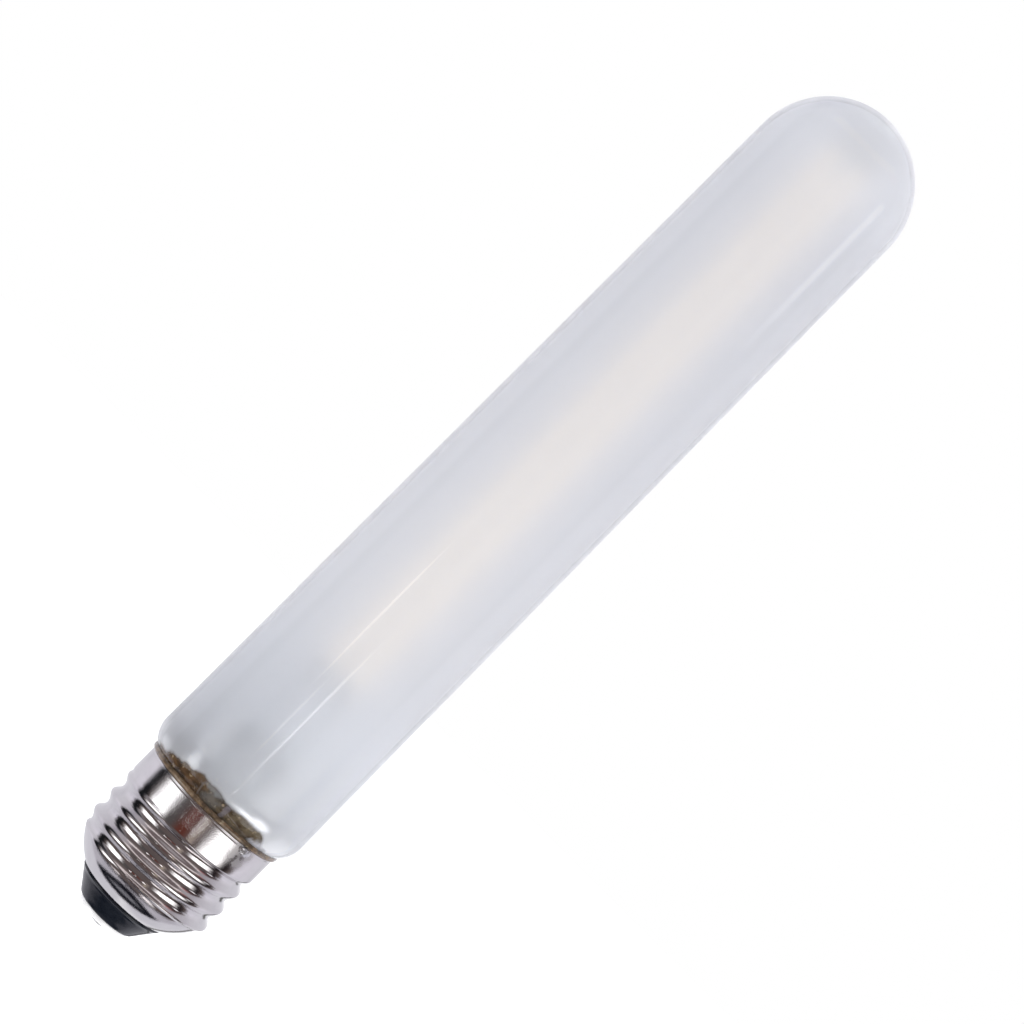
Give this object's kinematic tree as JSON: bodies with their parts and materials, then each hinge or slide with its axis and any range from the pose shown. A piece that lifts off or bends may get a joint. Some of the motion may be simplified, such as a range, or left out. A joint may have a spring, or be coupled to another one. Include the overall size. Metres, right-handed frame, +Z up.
{
  "type": "tubular light bulb",
  "caption": "Long frosted glass tube lamp with a round dome, clear shouldered neck and a bright nickel medium screw cap.",
  "frame": {"origin": "centre of the flat on the contact solder, on the lamp axis", "axes": "+Z up the lamp axis to the dome, cap down; -Y is the near side; right-hand thread"},
  "size_m": [0.03, 0.03, 0.184],
  "materials": {
    "nickel_shell": "bright nickel plate",
    "black_glass": "glossy black moulded glass",
    "brass_contact": "nickelled brass, dull",
    "solder": "dull tin",
    "cement": "matt brown cement",
    "frosted_glass": "satin frosted inside",
    "clear_glass": "clear",
    "nickel_wire": "bright wire and strip",
    "phosphor": "yellow silicone phosphor",
    "board": "green glass-fibre board",
    "black_resin": "moulded resin",
    "capacitor_box": "red box",
    "resistor_body": "lacquered"
  },
  "bodies": {
    "root": {"screw_shell": "nickel_shell", "insulator": "black_glass", "centre_contact": "brass_contact", "contact_solder": "solder", "side_weld": "solder", "cap_cement": "cement", "glass_envelope": "frosted_glass", "stem_press": "clear_glass", "exhaust_tube": "clear_glass", "support_rod": "clear_glass", "side_wire": "nickel_wire", "centre_wire": "nickel_wire", "lead_wire_1": "nickel_wire", "lead_wire_2": "nickel_wire", "lower_bridge_1": "nickel_wire", "lower_bridge_2": "nickel_wire", "top_spider": "nickel_wire", "lower_tab_1": "nickel_wire", "lower_tab_2": "nickel_wire", "lower_tab_3": "nickel_wire", "lower_tab_4": "nickel_wire", "upper_tab_1": "nickel_wire", "upper_tab_2": "nickel_wire", "upper_tab_3": "nickel_wire", "upper_tab_4": "nickel_wire", "led_filament_1": "phosphor", "led_filament_2": "phosphor", "led_filament_3": "phosphor", "led_filament_4": "phosphor", "driver_board": "board", "bridge_rectifier": "black_resin", "driver_chip": "black_resin", "film_capacitor": "capacitor_box", "fusible_resistor": "resistor_body"}
  },
  "joints": []
}
